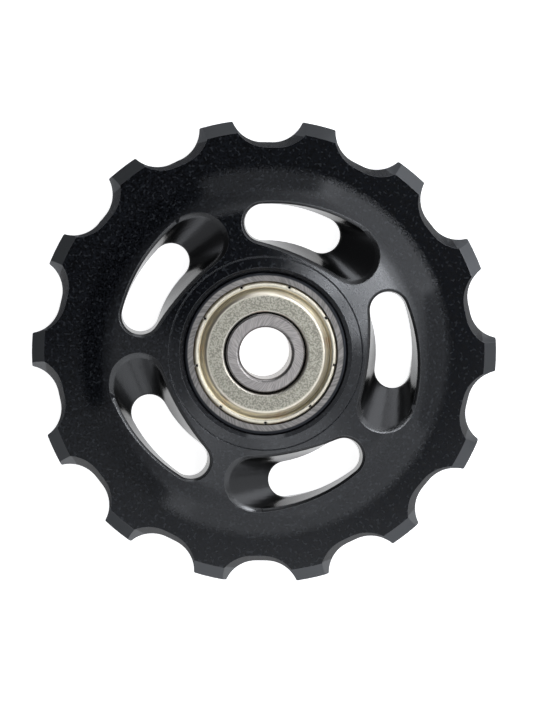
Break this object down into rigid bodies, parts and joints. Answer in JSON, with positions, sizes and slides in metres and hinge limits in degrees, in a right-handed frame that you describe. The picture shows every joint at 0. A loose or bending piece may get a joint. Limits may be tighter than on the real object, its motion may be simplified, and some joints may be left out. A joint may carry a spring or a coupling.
{
  "type": "derailleur jockey wheel",
  "caption": "Toothed jockey wheel for a bicycle rear derailleur, in black anodised aluminium with slanted scooped slots and a pressed-in shielded ball bearing.",
  "frame": {"origin": "on the axle line at mid thickness", "axes": "+Z along the axle, out of the face in the picture; +X through the middle of a tooth"},
  "size_m": [0.054, 0.0534, 0.0068],
  "materials": {
    "wheel_alloy": "bead-blasted and black anodised",
    "ring_steel": "ground bearing steel",
    "shield_steel": "pressed zinc-plated sheet",
    "cage_steel": "stamped strip",
    "ball_steel": "polished balls"
  },
  "bodies": {
    "inner_ring": {"bearing_inner_ring": "ring_steel"},
    "wheel": {"wheel": "wheel_alloy", "bearing_outer_ring": "ring_steel", "shield_front": "shield_steel", "shield_back": "shield_steel"},
    "cage": {"cage_front": "cage_steel", "cage_back": "cage_steel"},
    "ball_1": {"ball_1": "ball_steel"},
    "ball_2": {"ball_2": "ball_steel"},
    "ball_3": {"ball_3": "ball_steel"},
    "ball_4": {"ball_4": "ball_steel"},
    "ball_5": {"ball_5": "ball_steel"},
    "ball_6": {"ball_6": "ball_steel"}
  },
  "joints": [
    {"name": "wheel_spin", "type": "hinge", "parent": "inner_ring", "child": "wheel", "pos_m": [0, 0, 0], "axis": [0, 0, 1], "continuous": true},
    {"name": "cage_spin", "type": "hinge", "parent": "inner_ring", "child": "cage", "pos_m": [0, 0, 0], "axis": [0, 0, 1], "continuous": true},
    {"name": "ball_1_spin", "type": "hinge", "parent": "cage", "child": "ball_1", "pos_m": [0.00625, 0, 0], "axis": [0, 0, 1], "continuous": true},
    {"name": "ball_2_spin", "type": "hinge", "parent": "cage", "child": "ball_2", "pos_m": [0.00313, 0.00541, 0], "axis": [0, 0, 1], "continuous": true},
    {"name": "ball_3_spin", "type": "hinge", "parent": "cage", "child": "ball_3", "pos_m": [-0.00313, 0.00541, 0], "axis": [0, 0, 1], "continuous": true},
    {"name": "ball_4_spin", "type": "hinge", "parent": "cage", "child": "ball_4", "pos_m": [-0.00625, 0, 0], "axis": [0, 0, 1], "continuous": true},
    {"name": "ball_5_spin", "type": "hinge", "parent": "cage", "child": "ball_5", "pos_m": [-0.00313, -0.00541, 0], "axis": [0, 0, 1], "continuous": true},
    {"name": "ball_6_spin", "type": "hinge", "parent": "cage", "child": "ball_6", "pos_m": [0.00313, -0.00541, 0], "axis": [0, 0, 1], "continuous": true}
  ],
  "couplings": [
    {"joint": "cage_spin", "follows": "wheel_spin", "ratio": 0.64},
    {"joint": "ball_1_spin", "follows": "wheel_spin", "ratio": 1.6457},
    {"joint": "ball_2_spin", "follows": "wheel_spin", "ratio": 1.6457},
    {"joint": "ball_3_spin", "follows": "wheel_spin", "ratio": 1.6457},
    {"joint": "ball_4_spin", "follows": "wheel_spin", "ratio": 1.6457},
    {"joint": "ball_5_spin", "follows": "wheel_spin", "ratio": 1.6457},
    {"joint": "ball_6_spin", "follows": "wheel_spin", "ratio": 1.6457}
  ]
}
